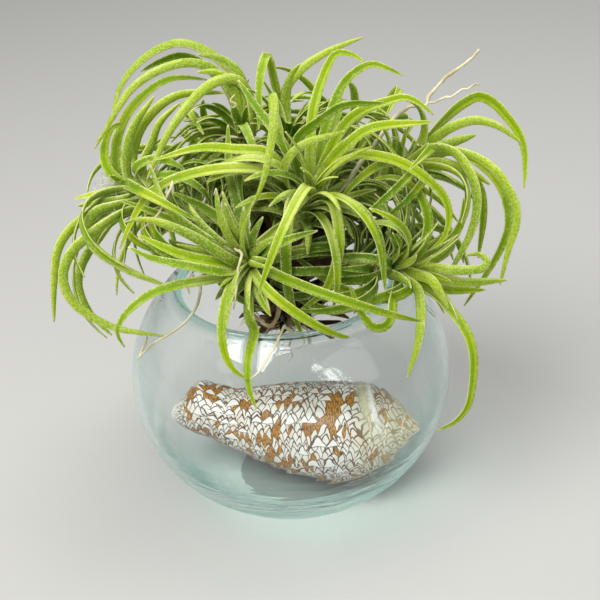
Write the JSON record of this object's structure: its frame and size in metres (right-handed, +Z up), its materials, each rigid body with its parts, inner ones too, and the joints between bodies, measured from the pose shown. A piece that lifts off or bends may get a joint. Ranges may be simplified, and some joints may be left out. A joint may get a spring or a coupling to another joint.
{
  "type": "curly leaf sky plant",
  "caption": "Clump of curly narrow-leaved air plant rosettes resting in the mouth of a clear glass bubble bowl that holds a cone shell.",
  "frame": {"origin": "middle of the bowl's flat foot, on the surface that it stands on", "axes": "+Z up along the bowl's axis, +X to the right and -Y to the front as the picture shows it"},
  "size_m": [0.1662, 0.1361, 0.1582],
  "materials": {
    "clear_glass": "polished",
    "shell": "satin, white tents netted in brown",
    "dry_wood": "dry, fibrous",
    "dry_root": "dry, matt",
    "leaf_green": "matt with silvery scales"
  },
  "bodies": {
    "root": {"glass_bowl": "clear_glass", "cone_shell": "shell", "rootstock": "dry_wood", "dry_root_left": "dry_root", "dry_root_loop": "dry_root", "dry_stalk": "dry_root", "rosette_front": "leaf_green", "rosette_top": "leaf_green", "rosette_back_left": "leaf_green", "rosette_left": "leaf_green", "rosette_front_left": "leaf_green", "rosette_right": "leaf_green", "rosette_back_right": "leaf_green", "rosette_rear_left": "leaf_green", "rosette_rear_right": "leaf_green"}
  },
  "joints": []
}
